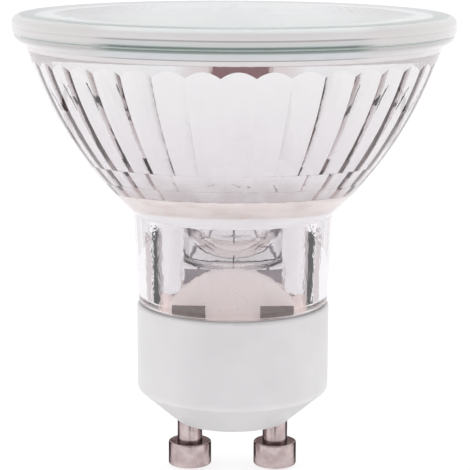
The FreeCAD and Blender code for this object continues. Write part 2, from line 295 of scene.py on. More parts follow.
@dataclass(frozen=True)
class ColdMirror(Finish):
    """Interference coat inside the bowl: a bright mirror seen straight on, with another tone at a slant."""

    slant_colour: str
    low: float = 25.0
    high: float = 45.0
    # By height the stops tint the mirror cream low down, darken it at the facet rows as painted shade, and
    # lighten it towards the mouth.
    stops: Stops = ((0.1, "#F0DCD5"), (0.28, "#C6BEBE"), (0.45, "#EEEBED"), (1.0, "#FAFAF9"))
    cloud_share: float = 0.25
    slant_start: float = 0.26
    slant_end: float = 0.36

    def surface(self, tree: Tree) -> dict:
        """Colours the coat by height and slant, with cloudy patches 4 mm wide where it came out thicker.

        Facing is 1 minus the cosine of the angle between the line of sight and the normal, so 0.26 and 0.36
        stand for 42 and 50 degrees.

        Args:
            tree: node tree that gets the nodes.

        Returns:
            Sockets of the shader for the mirror coat.
        """
        clouded = add_node(tree, "Math", {0: pattern(tree, (4.0, 4.0, 4.0), 2.0), 1: self.cloud_share,
                                          2: share_along(tree, "Z", self.low, self.high)},
                           operation="MULTIPLY_ADD")
        colour = add_node(tree, "ValToRGB", {"Fac": clouded}, self.stops)
        facing = add_node(tree, "LayerWeight", {"Blend": 0.5}).outputs["Facing"]
        slant = add_node(tree, "MapRange",
                         {"Value": facing, "From Min": self.slant_start, "From Max": self.slant_end})
        tinted = add_node(tree, "Mix", {SHARE: slant, FIRST: colour, SECOND: linear(self.slant_colour)},
                          data_type="RGBA")
        return {"Base Color": tinted, "Metallic": 0.9, "Transmission Weight": 1.0, "IOR": 1.5,
                "Roughness": 0.03, "Normal": relief(tree, (1.2, 1.2, 3.0), 2.0, 0.012)}


@dataclass(frozen=True)
class PaintedLightCoat(Finish):
    """Thin matt surface with drawn-out flecks, whose colour and glow paint light and shade: in the throat, on
    the flange's top and at the crease.
    """

    light: str
    dark: str
    painted_glow_colour: str
    glow: float
    metallic: float = 0.0
    fleck_size: Size = (2.6, 2.6, 0.7)

    def surface(self, tree: Tree) -> dict:
        """Scatters more than it mirrors, glows with painted light, and has level flecks 3 mm long.

        Args:
            tree: node tree that gets the nodes.

        Returns:
            Sockets of the shader for the thin coat.
        """
        return {"Base Color": drift(tree, self.fleck_size, 5.0, ((0.35, self.dark), (0.6, self.light))),
                "Metallic": self.metallic, "Roughness": 0.4, "IOR": 1.5, "Emission Color": linear(self.painted_glow_colour),
                "Emission Strength": self.glow, "Normal": relief(tree, self.fleck_size, 5.0, 0.02)}


@dataclass(frozen=True)
class FiredCeramic(Finish):
    """Dense white steatite, pressed and fired: satin, slightly translucent, with faint cloudy tone."""

    light: str = "#E5E4E4"
    dark: str = "#DEDDDD"
    bevel: str = "#ECECEC"
    bevel_low: float = 3.45
    bevel_high: float = 3.8

    def surface(self, tree: Tree) -> dict:
        """Satin over a shallow glow, with clouds 5 mm wide, painted shade that darkens the bevel, and grain
        of 0.35 mm.

        Args:
            tree: node tree that gets the nodes.

        Returns:
            Sockets of the shader for the ceramic.
        """
        body = drift(tree, (5.0, 5.0, 5.0), 4.0, ((0.3, self.dark), (0.7, self.light)))
        # Painted shade: the bevel, which faces down, is a shade darker than the side.
        shade = add_node(tree, "ValToRGB", {"Fac": share_along(tree, "Z", self.bevel_low, self.bevel_high)},
                         ((0.0, self.bevel), (1.0, "#FFFFFF")))
        painted_shade_tone = add_node(tree, "Mix", {SHARE: 1.0, FIRST: body, SECOND: shade}, data_type="RGBA",
                         blend_type="MULTIPLY")
        return {"Base Color": painted_shade_tone, "Roughness": 0.42, "Subsurface Weight": 0.15,
                "Subsurface Radius": (1.0, 0.95, 0.9), "Subsurface Scale": 0.6 * MM, "IOR": 1.55,
                "Normal": relief(tree, (0.35, 0.35, 0.35), 3.0, 0.006)}


@dataclass(frozen=True)
class PottingCement(Finish):
    """Refractory cement, poured and set: matt cream with sandy grain and fine dark specks."""

    light: str = "#F6EDEB"
    dark: str = "#EDE3E0"
    speck: str = "#C4B6B1"
    low: float = 13.2
    high: float = 18.4
    painted_light_stops: Stops = ((0.0, "#B8AFAD"), (0.5, "#D1C8C6"), (1.0, "#F3E9E9"))
    glow: float = 0.6

    def surface(self, tree: Tree) -> dict:
        """Clouds of 2 mm, specks of 0.25 mm and sand, and a painted glow, dimmer low down and brightest at
        the top.

        Args:
            tree: node tree that gets the nodes.

        Returns:
            Sockets of the shader for the cement.
        """
        body = drift(tree, (2.0, 2.0, 2.0), 6.0, ((0.3, self.dark), (0.65, self.light)))
        specks = add_node(tree, "MapRange", {
            "Value": pattern(tree, (0.5, 0.5, 0.5), 0.0, "TexVoronoi"), "From Min": 0.16, "From Max": 0.08})
        mixed = add_node(tree, "Mix", {SHARE: specks, FIRST: body, SECOND: linear(self.speck)},
                         data_type="RGBA")
        # Painted light: the cement glows, brightest at the top of the heap.
        painted_light_tone = add_node(tree, "ValToRGB", {"Fac": share_along(tree, "Z", self.low, self.high)},
                             self.painted_light_stops)
        return {"Base Color": mixed, "Roughness": 0.9, "Specular IOR Level": 0.25,
                "Emission Color": painted_light_tone, "Emission Strength": self.glow,
                "Normal": relief(tree, (0.3, 0.3, 0.3), 4.0, 0.05)}


@dataclass(frozen=True)
class Metal(Finish):
    """Bare or plated metal with the marks of its making, as fine lines across one direction."""

    light: str
    dark: str
    roughness: float
    mark_size: Size
    mark_depth: float
    roughness_spread: float = 0.1
    edge_tint: str = "#FFFFFF"

    def surface(self, tree: Tree) -> dict:
        """Varies colour and gloss with handling stains 1.5 mm wide, and tints edges seen at a slant.

        Args:
            tree: node tree that gets the nodes.

        Returns:
            Sockets of the shader for the metal.
        """
        stains = pattern(tree, (1.5, 1.5, 1.5), 5.0)
        tone = add_node(tree, "ValToRGB", {"Fac": stains}, ((0.35, self.dark), (0.6, self.light)))
        gloss = add_node(tree, "MapRange",
                         {"Value": stains, "To Min": self.roughness - self.roughness_spread / 2,
                          "To Max": self.roughness + self.roughness_spread / 2})
        return {"Base Color": tone, "Metallic": 1.0, "Roughness": gloss,
                "Specular Tint": linear(self.edge_tint),
                "Normal": relief(tree, self.mark_size, 3.0, self.mark_depth)}


@dataclass(frozen=True)
class SiliconeFilm(Finish):
    """Cured clear silicone, squeezed thin between two glasses: milky, with small trapped bubbles."""

    light: str = "#AEB8B4"
    dark: str = "#A2AEA9"
    glow: float = 0.22

    def surface(self, tree: Tree) -> dict:
        """Soft gloss, bubbles about 0.4 mm wide, and a green grey tone and a glow that paint the light the
        two glasses guide to it.

        Args:
            tree: node tree that gets the nodes.

        Returns:
            Sockets of the shader for the film.
        """
        bubbles = pattern(tree, (0.8, 0.8, 0.8), 0.0, "TexVoronoi")
        tone = add_node(tree, "ValToRGB", {"Fac": bubbles}, ((0.15, self.light), (0.5, self.dark)))
        return {"Base Color": tone, "Roughness": 0.35, "Transmission Weight": 0.2, "IOR": 1.41,
                "Emission Color": linear(self.light), "Emission Strength": self.glow}


@dataclass(frozen=True)
class StudioFloor(Finish):
    """Opal sheet lit from below, so that it is white all over and holds only a faint shadow."""

    light: str = "#ABAAAC"
    dark: str = "#A6A5A8"
    glow: float = 0.73

    def surface(self, tree: Tree) -> dict:
        """Matt with its own light, and tone 40 mm wide that is too faint to draw the eye.

        Args:
            tree: node tree that gets the nodes.

        Returns:
            Sockets of the shader for the floor.
        """
        return {"Base Color": drift(tree, (40.0, 40.0, 40.0), 2.0, ((0.3, self.dark), (0.7, self.light))),
                "Roughness": 0.95, "Specular IOR Level": 0.0, "Emission Color": linear("#FFFFFF"),
                "Emission Strength": self.glow}


@dataclass(frozen=True)
class CardStock(Finish):
    """Matt paper card that stands beside the lamp, out of the picture, to draw the edges of clear glass."""

    light: str
    dark: str

    def surface(self, tree: Tree) -> dict:
        """Matt paper with fibre 3 mm long."""
        return {"Base Color": drift(tree, (3.0, 3.0, 1.0), 3.0, ((0.3, self.dark), (0.7, self.light))),
                "Roughness": 0.95, "Specular IOR Level": 0.1}


@dataclass
class Sheet:
    """A grid of points, rows by columns by xyz in millimetres, closed round its columns.

    Rows that run counterclockwise in the half plane of radius and height, with columns counterclockwise seen
    from +Z, face outwards.
    """

    points: np.ndarray
    finish: Finish
    inward: bool = False


def skin(name: str, sheets: Sequence[Sheet], sharp: float = 30.0) -> bpy.types.Object:
    """Joins sheets into one closed mesh object.

    The quad of row i and column j has the corners (i, j), (i, j+1), (i+1, j+1) and (i+1, j).

    Args:
        name: name of the object.
        sheets: grids whose edges meet.
        sharp: edges that turn by more than this many degrees stay sharp.

    Returns:
        The object, linked to the scene.
    """
    finishes = list(dict.fromkeys(sheet.finish for sheet in sheets))
    points, quads, numbers = [], [], []
    offset = 0
    for sheet in sheets:
        rows, columns = sheet.points.shape[:2]
        index = offset + np.arange(rows * columns).reshape(rows, columns)
        beside = np.roll(index, -1, axis=1)
        quad = np.stack([index[:-1], beside[:-1], beside[1:], index[1:]], axis=-1).reshape(-1, 4)
        quads.append(quad[:, ::-1] if sheet.inward else quad)
        points.append(sheet.points.reshape(-1, 3) * MM)
        numbers.append(np.full(len(quad), finishes.index(sheet.finish), dtype=np.int32))
        offset += rows * columns
    mesh = bpy.data.meshes.new(name)
    mesh.from_pydata(np.concatenate(points), [], np.concatenate(quads))
    mesh.polygons.foreach_set("material_index", np.concatenate(numbers))
    merged = bmesh.new()
    merged.from_mesh(mesh)
    bmesh.ops.remove_doubles(merged, verts=merged.verts, dist=1e-4 * MM)
    merged.to_mesh(mesh)
    merged.free()
    mesh.polygons.foreach_set("use_smooth", np.ones(len(mesh.polygons), dtype=bool))
    mesh.set_sharp_from_angle(angle=math.radians(sharp))
    for finish in finishes:
        mesh.materials.append(finish.material())
    piece = bpy.data.objects.new(name, mesh)
    bpy.context.scene.collection.objects.link(piece)
    return piece


def stand_for(piece: bpy.types.Object, node: str) -> None:
    """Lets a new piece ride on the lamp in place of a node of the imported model.

    Args:
        piece: the new piece.
        node: node that it stands for.
    """
    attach(piece, BODY)
    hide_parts(node)
    LOG.info("%s stands for %s with %d faces", piece.name, node, len(piece.data.polygons))


def dress_node(node: str, finish: Finish) -> None:
    """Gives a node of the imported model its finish.

    Args:
        node: name of the node.
        finish: what it is made of.
    """
    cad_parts[node].material_slots[0].material = finish.material()
    LOG.info("%s keeps its mesh and gets %s", node, finish.name)


def rounded(corners: Sequence[Sequence[float]], radii: Sequence[float], steps: int = 6) -> np.ndarray:
    """Outline through corners, with an arc tangent to both sides at each corner that has a radius.

    For a corner with half angle h between its sides, the arc of radius r starts r / tan h along each side,
    and its centre lies r / sin h along the line between them.

    Args:
        corners: radius and height of each corner.
        radii: radius of the arc at each corner, 0 for a sharp one.
        steps: pieces of each arc.

    Returns:
        Points, n by 2.
    """
    points = np.array(corners, dtype=float)
    outline = []
    for index, (corner, radius) in enumerate(zip(points, radii)):
        if radius <= 0 or index in (0, len(points) - 1):
            outline.append(corner[None, :])
            continue
        back = points[index - 1] - corner
        ahead = points[index + 1] - corner
        back, ahead = back / np.linalg.norm(back), ahead / np.linalg.norm(ahead)
        half = math.acos(float(np.clip(back @ ahead, -1, 1))) / 2
        middle = (back + ahead) / np.linalg.norm(back + ahead)
        centre = corner + middle * radius / math.sin(half)
        start = corner + back * radius / math.tan(half) - centre
        end = corner + ahead * radius / math.tan(half) - centre
        turn = math.acos(float(np.clip(start @ end / radius ** 2, -1, 1)))
        share = np.linspace(0, 1, steps + 1)[:, None]
        curve = np.sin((1 - share) * turn) * start + np.sin(share * turn) * end
        outline.append(centre + curve / math.sin(turn))
    return np.concatenate(outline)


def polar(radius: np.ndarray, angle: np.ndarray, height: np.ndarray) -> np.ndarray:
    """Points with x = r cos a and y = r sin a, from arrays that are stretched to one another's shape."""
    radius, angle, height = np.broadcast_arrays(radius, angle, height)
    return np.stack([radius * np.cos(angle), radius * np.sin(angle), height], axis=-1)


def turned(profile: np.ndarray, angle: np.ndarray | int) -> np.ndarray:
    """Turns a profile about the lamp's axis.

    Args:
        profile: radius and height of each point, n by 2.
        angle: angles in radians, of all rows or of each, or how many even places there are round the axis.

    Returns:
        Grid of points, profile by angles by 3.
    """
    if isinstance(angle, int):
        angle = np.linspace(0, 2 * np.pi, angle, endpoint=False)
    return polar(profile[:, :1], angle, profile[:, 1:])


def ripple(x: np.ndarray, y: np.ndarray, length: float, seed: int, waves: int = 14) -> np.ndarray:
    """Smooth irregular height: twice the mean of sine waves with random headings and phases.

    Args:
        x: first coordinate in millimetres.
        y: second coordinate in millimetres.
        length: typical wavelength in millimetres.
        seed: number that fixes the pattern.
        waves: how many sine waves are added.

    Returns:
        Heights, shaped like x.
    """
    chance = np.random.default_rng(seed)
    heading = chance.uniform(0, 2 * np.pi, waves)
    phase = chance.uniform(0, 2 * np.pi, waves)
    wave = 2 * np.pi / (length * chance.uniform(0.6, 1.6, waves))
    along = x[..., None] * np.cos(heading) + y[..., None] * np.sin(heading)
    return np.sin(along * wave + phase).mean(axis=-1) * 2.0


@dataclass
class Ring:
    """Facets pressed into the bowl: count, azimuth of the first seam, steps above them, and heights."""

    count: int
    phase: float
    steps: int
    low: float
    high: float


@dataclass
class Reflector:
    """Pressed glass: spigot, clear neck, bowl and flange, with petals and facets under a mirror coat."""

    neck_base: float = 13.85
    neck_length: float = 10.75
    bowl_height: float = 19.2
    spigot_radius: float = 10.1
    spigot_low: float = 12.75
    spigot_high: float = 14.0
    spigot_round: float = 0.1
    shoulder_rise: float = 0.02
    shoulder_share: float = 0.6
    neck_low_radius: float = 10.925
    neck_high_radius: float = 11.475
    bore_low_radius: float = 8.5
    bore_high_radius: float = 8.75
    neck_fillet: float = 0.8
    fillet_steps: int = 8
    mouth_radius: float = 23.5
    bulge: float = 1.5
    wall: float = 2.4
    opening_radius: float = 20.5
    opening_draft: float = 2.0
    flange_radius: float = 24.75
    flange_thickness: float = 1.15
    flange_foot: tuple[float, float] = (0.5625, 0.35)
    flange_side: float = 0.75
    flange_rounds: Size = (0.35, 0.6, 0.12)
    throat_rise: float = 0.95
    throat_lip: float = 0.2
    throat_rounds: tuple[float, float] = (0.15, 0.5)
    petal_depth: float = 0.011
    columns: int = 432
    petals: int = 36
    petal_phase: float = 6.3
    petal_start: float = 6.9
    upper_facets: int = 32
    upper_phase: float = 8.45
    upper_start: float = 5.05
    lower_facets: int = 28
    lower_phase: float = 3.0
    lower_start: float = 3.8
    row_step: float = 0.08
    coat_drop: float = 1.35
    white_glow_share: float = 0.3
    arc_points: int = 48
    fillet_points: int = 3
    band_rows: int = 8
    petal_rows: int = 34
    facet_rows: int = 6
    coated_rows: int = 4
    bare_rows: int = 14
    halvings: int = 40
    glass: Finish = ClearGlass("pressed_borosilicate", (1.6, 1.6, 4.0), tint="#FBFAFB",
                               absorb_colour="#D8D4D5", absorb_per_mm=0.045)
    haze: Finish = ClearGlass("hazed_bore_glass", (0.8, 0.8, 1.4), tint="#F6F4F6", roughness=0.02)
    # Cream painted reflection of the cement, with a painted glow, in the throat.
    cream: Finish = PaintedLightCoat("throat_painted_light", "#FAF1EE", "#DFD3D0", "#FAF1EE", 0.34, metallic=0.15)
    # White painted glow down the throat and the coated bore, and on the flange's top.
    white_painted_glow: Finish = PaintedLightCoat("throat_white_painted_glow", "#FBFAFC", "#F2F1F4", "#FBFAFC", 0.4)
    # Painted shade under the flange, with a painted glow.
    crease_painted_shade: Finish = PaintedLightCoat("crease_painted_shade_glow", "#646262", "#555353", "#E6E1E2", 0.75)
    # Painted shade, dark at the crease, and painted green light towards the top, with a strong painted glow.
    rim: Finish = SatinEdge("fire_polished_rim", 43.8, 44.95, "#AFABAA", (
        (0.00, "#303032"), (0.16, "#AEB1B4"), (0.66, "#B4B7BA"), (0.80, "#727C78"), (1.00, "#57655F")),
                            scatter="#858585", glow=0.98)
    coat: Finish = ColdMirror("cold_mirror_coat", "#BDAFAE")
    band_coat: Finish = ColdMirror("cold_mirror_band", "#EAE6E8")

    @property
    def bowl_base(self) -> float:
        """Height where the neck meets the bowl."""
        return self.neck_base + self.neck_length

    @property
    def crease(self) -> float:
        """Height of the crease under the flange."""
        return self.bowl_base + self.bowl_height

    @property
    def top(self) -> float:
        """Height of the flat top of the flange."""
        return self.crease + self.flange_thickness

    def bowl_arc(self) -> tuple[float, float, float]:
        """Circle of the bowl's outside through the neck's end and the crease.

        With a chord of length c and a bulge b its radius is (c² / 4 + b²) / 2b, and its centre lies on the
        chord's normal, towards the axis.

        Returns:
            Radius of the circle, and the radius and height of its centre.
        """
        foot = np.array([self.neck_high_radius, self.bowl_base])
        head = np.array([self.mouth_radius, self.crease])
        chord = head - foot
        length = float(np.linalg.norm(chord))
        radius = (length ** 2 / 4 + self.bulge ** 2) / (2 * self.bulge)
        outward = np.array([chord[1], -chord[0]]) / length
        centre = (foot + head) / 2 - outward * (radius - self.bulge)
        return radius, float(centre[0]), float(centre[1])

    def inner_radius(self, height: np.ndarray) -> np.ndarray:
        """Radius of the inside, one wall in from the outside: x = cx + sqrt((R - wall)² - (z - cz)²)."""
        radius, centre_x, centre_z = self.bowl_arc()
        return centre_x + np.sqrt((radius - self.wall) ** 2 - (height - centre_z) ** 2)

    def azimuths(self, count: int, phase: float) -> np.ndarray:
        """Places of the columns round the axis, shared out so that each seam falls on one of them.

        Args:
            count: arcs in the ring.
            phase: azimuth of the first seam.

        Returns:
            One azimuth in degrees for each column.
        """
        seams = np.round(np.arange(count + 1) * self.columns / count)
        return phase + np.interp(np.arange(self.columns), seams, np.arange(count + 1) * 360.0 / count)

    def arc_share(self, azimuth: np.ndarray, count: int, phase: float) -> np.ndarray:
        """Radius of the pressing tool as a share of its radius at the seams.

        Between two seams the outline is an arc through both and through a middle point that lies depth nearer
        the axis. With a half pitch p the half chord is h = sin p and the sagitta s = cos p - (1 - depth). The
        arc has the radius R = (h² + s²) / 2s about a centre at c = 1 - depth + R, so at an angle t from the
        middle the share is c cos t - sqrt(R² - c² sin² t).

        Args:
            azimuth: places in degrees.
            count: arcs in the ring.
            phase: azimuth of the first seam.

        Returns:
            Shares, shaped like azimuth.
        """
        pitch = 2 * np.pi / count
        turn = np.mod(np.radians(azimuth - phase), pitch) - pitch / 2
        sagitta = math.cos(pitch / 2) - (1 - self.petal_depth)
        arc_radius = (math.sin(pitch / 2) ** 2 + sagitta ** 2) / (2 * sagitta)
        centre = 1 - self.petal_depth + arc_radius
        return centre * np.cos(turn) - np.sqrt(arc_radius ** 2 - (centre * np.sin(turn)) ** 2)

    def outside(self) -> tuple[np.ndarray, np.ndarray]:
        """Profiles of the outside, as the radius and height of each point.

        Returns:
            One from the lower end of the bore up to the crease, and one over the flange.
        """
        radius, centre_x, centre_z = self.bowl_arc()
        foot_angle = math.atan2(self.bowl_base - centre_z, self.neck_high_radius - centre_x)
        head_angle = math.atan2(self.crease - centre_z, self.mouth_radius - centre_x)
        angle = np.linspace(foot_angle, head_angle, self.arc_points)
        arc = np.stack([centre_x + radius * np.cos(angle), centre_z + radius * np.sin(angle)], axis=-1)
        shoulder = (self.neck_low_radius - self.spigot_radius) * self.shoulder_share
        lower = rounded([(self.bore_low_radius, self.spigot_low), (self.spigot_radius, self.spigot_low),
                         (self.spigot_radius, self.spigot_high),
                         (self.neck_low_radius, self.spigot_high + self.shoulder_rise), arc[0],
                         arc[self.fillet_points]],
                        [0, self.spigot_round, 0, shoulder, self.neck_fillet, 0], self.fillet_steps)
        inset, rise = self.flange_foot
        rim = rounded([arc[-1], (self.flange_radius - inset, self.crease + rise),
                       (self.flange_radius, self.crease + self.flange_side), (self.flange_radius, self.top),
                       (self.opening_radius, self.top)], [0, *self.flange_rounds, 0])
        return np.concatenate([lower[:-1], arc[self.fillet_points:-1]]), rim

    def petal_grids(self) -> list[np.ndarray]:
        """Plain band under the mouth, and petals below it.

        The petals end where they run out of the band, at the height z of each azimuth where the band's radius
        is that of the petal. It is found by halving an interval for all azimuths at once.

        Returns:
            Grids of the band and of the petals, from the top down.
        """
        slope = math.tan(math.radians(self.opening_draft))
        azimuth = self.azimuths(self.petals, self.petal_phase)
        share = self.arc_share(azimuth, self.petals, self.petal_phase)
        base = self.bowl_base + self.petal_start
        low, high = np.full(share.shape, base), np.full(share.shape, self.top)
        for _ in range(self.halvings):
            middle = (low + high) / 2
            inside = self.inner_radius(middle) * share < self.opening_radius - (self.top - middle) * slope
            low, high = np.where(inside, middle, low), np.where(inside, high, middle)
        band_z = low + (self.top - low) * np.linspace(1, 0, self.band_rows)[:, None]
        petal_z = base + (low - base) * np.linspace(1, 0, self.petal_rows)[:, None]
        angle = np.radians(azimuth)
        return [polar(self.opening_radius - (self.top - band_z) * slope, angle, band_z),
                polar(self.inner_radius(petal_z) * share, angle, petal_z)]

    def facet_grids(self, above: np.ndarray) -> list[np.ndarray]:
        """Two rows of facets, each after the narrow step that joins it to the grid above.

        Args:
            above: grid of the petals.

        Returns:
            Grids of step, upper facets, step and lower facets.
        """
        rings = (Ring(self.upper_facets, self.upper_phase, 1, self.upper_start, self.petal_start),
                 Ring(self.lower_facets, self.lower_phase, 2, self.lower_start, self.upper_start))
        grids = [above]
        for ring in rings:
            azimuth = self.azimuths(ring.count, ring.phase)
            nearest = np.argmin(np.abs(np.mod(azimuth - self.petal_phase + 180, 360) - 180))
            azimuth = np.roll(azimuth, -int(nearest))
            height = self.bowl_base + np.linspace(ring.high, ring.low, self.facet_rows)[:, None]
            share = self.arc_share(azimuth, ring.count, ring.phase)
            radius = (self.inner_radius(height) - ring.steps * self.row_step) * share
            facets = polar(radius, np.radians(azimuth), height)
            grids += [np.concatenate([grids[-1][-1:], facets[:1]]), facets]
        return grids[1:]

    def throat_sheets(self, above: np.ndarray) -> list[Sheet]:
        """Cone from the last facets to the bore, and the bore.

        Args:
            above: grid of the lower facets.

        Returns:
            The flecked throat with a cream painted reflection and glow, the white painted glow down to where
            the coat ends in the bore, and the bare bore.
        """
        foot = self.bowl_base + self.lower_start
        throat = self.bowl_base + self.throat_rise
        foot_radius = float(self.inner_radius(np.array(foot))) - 3 * self.row_step
        split = throat + self.white_glow_share * (foot - throat)
        split_radius = self.bore_high_radius + self.white_glow_share * (foot_radius - self.bore_high_radius)
        foot_round, bore_round = self.throat_rounds
        cone = rounded([(foot_radius + self.throat_lip, foot), (foot_radius, foot), (split_radius, split),
                        (self.bore_high_radius, throat), (self.bore_low_radius, self.spigot_low)],
                       [0, foot_round, 0, bore_round, 0])[1:-1]
        angle = np.arctan2(above[-1, :, 1], above[-1, :, 0])
        funnel = turned(cone, angle)
        turn = int(np.argmin(np.abs(cone[:, 1] - split)))
        start, high = cone[-1]
        coat_end = throat - self.coat_drop
        bore_z = np.concatenate([np.linspace(high, coat_end, self.coated_rows),
                                 np.linspace(coat_end, self.spigot_low, self.bare_rows)[1:]])
        bore_radius = start + (self.bore_low_radius - start) * (high - bore_z) / (high - self.spigot_low)
        bore = turned(np.stack([bore_radius, bore_z], axis=-1), angle)
        return [Sheet(np.concatenate([above[-1:], funnel[:turn + 1]]), self.cream),
                Sheet(funnel[turn:], self.white_painted_glow), Sheet(bore[:self.coated_rows], self.white_painted_glow),
                Sheet(bore[self.coated_rows - 1:], self.haze)]

    def build(self) -> None:
        """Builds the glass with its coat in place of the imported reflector.

        The columns of the outside turn with the root of the way up, from those of the bore to those of the
        band.
        """
        band, petals = self.petal_grids()
        facets = self.facet_grids(petals)
        inside = [Sheet(band, self.band_coat)] + [Sheet(grid, self.coat) for grid in (petals, *facets)]
        inside += self.throat_sheets(facets[-1])
        body, rim = self.outside()
        profile = np.concatenate([body, rim])
        high, low = (np.unwrap(np.arctan2(row[:, 1], row[:, 0])) for row in (band[0], inside[-1].points[-1]))
        low = low + np.round((high - low) / (2 * np.pi)) * 2 * np.pi
        share = np.linspace(0, 1, len(profile))[:, None] ** 0.5
        outside = turned(profile, low + (high - low) * share)
        crease = len(body)
        # The crease has painted shade with a glow, and the flange's top a white painted glow.
        sheets = [Sheet(outside[:crease], self.glass),
                  Sheet(outside[crease - 1:crease + 1], self.crease_painted_shade),
                  Sheet(outside[crease:-1], self.rim), Sheet(outside[-2:], self.white_painted_glow)]
        stand_for(skin("pressed_reflector", sheets + inside, sharp=11.0), "reflector")


@dataclass
class Front:
    """Cover glass with its fire-polished edge, and the silicone film under it."""

    radius: float = 25.0
    low: float = 45.1
    high: float = 47.1
    top_round: float = 0.9
    low_round: float = 0.4
    round_steps: int = 10
    film_inner: float = 22.5
    film_outer: float = 24.4
    film_low: float = 44.95
    film_sink: float = 0.02
    columns: int = 288
    face: Finish = ClearGlass("float_glass", (9.0, 9.0, 9.0), wave_depth=0.01, tint="#F6F8F7",
                              absorb_colour="#B4DCCB", absorb_per_mm=0.004)
    # Bands of painted light and shade: dark green at the foot, a darker band across the middle, light above,
    # fading towards a paler painted tone at the sides, with a faint painted glow.
    edge: Finish = SatinEdge("ground_glass_edge", 45.1, 47.1, "#DAD6D5", (
        (0.00, "#54635E"), (0.09, "#5C6B66"), (0.17, "#C6CAC9"), (0.36, "#CED0D0"), (0.40, "#A39B9B"),
        (0.44, "#A39B9B"), (0.48, "#DAD7D7"), (0.78, "#DEDBDC"), (0.88, "#EBEEED"), (1.00, "#EFF2F1")))
    film: Finish = SiliconeFilm("silicone_film")

    def build(self) -> None:
        """Builds the disc and the film.

        The disc's profile goes from the middle of its underside out, round the edge and back over its face,
        and its rounded edge has a finish of its own.
        """
        outline = rounded([(0, self.low), (self.radius, self.low), (self.radius, self.high), (0, self.high)],
                          [0, self.low_round, self.top_round, 0], self.round_steps)
        disc = [Sheet(turned(part, self.columns), finish) for part, finish in (
            (outline[:2], self.face), (outline[1:-1], self.edge), (outline[-2:], self.face))]
        low, high = self.film_low - self.film_sink, self.low + self.film_sink
        ring = np.array([(self.film_inner, low), (self.film_outer, low), (self.film_outer, high),
                         (self.film_inner, high), (self.film_inner, low)])
        stand_for(skin("cover_disc", disc), "cover_glass")
        stand_for(skin("silicone_ring", [Sheet(turned(ring, self.columns), self.film)]), "cover_adhesive")


